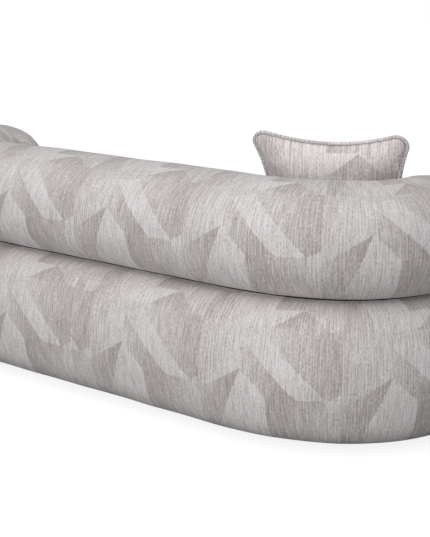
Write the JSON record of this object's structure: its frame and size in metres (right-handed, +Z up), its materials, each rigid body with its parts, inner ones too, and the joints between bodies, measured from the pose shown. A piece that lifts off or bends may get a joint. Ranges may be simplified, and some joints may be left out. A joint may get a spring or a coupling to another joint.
{
  "type": "curved sofa",
  "caption": "Curved sofa with a bulging padded base, a thick back roll that sweeps round into rounded arms, and a loose piped scatter cushion.",
  "frame": {"origin": "on the floor under the middle of the sofa", "axes": "+X along the sofa's length, +Y out of its back so that the seat faces -Y, +Z up"},
  "size_m": [2.31, 1.07, 0.8655],
  "materials": {
    "upholstery_fabric": "matte woven jacquard with a fine vertical streak",
    "cushion_fabric": "matte woven jacquard with a fine vertical streak",
    "foam": "open-cell foam",
    "fibre_filling": "soft fibre",
    "timber": "sawn, unfinished",
    "webbing": "woven elastic strap",
    "dust_cloth": "thin non-woven cloth",
    "foot_plastic": "matte",
    "steel": "zinc plated"
  },
  "bodies": {
    "sofa": {"back_posts": "timber", "base_cover": "upholstery_fabric", "base_foam_back": "foam", "base_foam_front": "foam", "base_foam_left": "foam", "base_foam_right": "foam", "bearer": "timber", "bearer_blocks": "timber", "bottom_ring": "timber", "cross_rail_1": "timber", "cross_rail_2": "timber", "cross_rail_3": "timber", "cross_rail_4": "timber", "cross_straps": "webbing", "dust_cover": "dust_cloth", "feet": "foot_plastic", "front_posts": "timber", "left_posts": "timber", "long_straps": "webbing", "right_posts": "timber", "roll_cleats": "timber", "roll_cover": "upholstery_fabric", "roll_foam_back": "foam", "roll_foam_left": "foam", "roll_foam_left_end": "foam", "roll_foam_right": "foam", "roll_foam_right_end": "foam", "roll_plate": "timber", "roll_screws": "steel", "roll_spine": "timber", "seat_cover": "upholstery_fabric", "seat_foam": "foam", "seat_ring": "timber"},
    "scatter_cushion": {"cushion_cover": "cushion_fabric", "cushion_piping": "cushion_fabric", "cushion_filling": "fibre_filling"}
  },
  "joints": [
    {"name": "cushion_lift", "type": "slide", "parent": "sofa", "child": "scatter_cushion", "axis": [0, 0, 1], "range_m": [0, 0.4]}
  ]
}
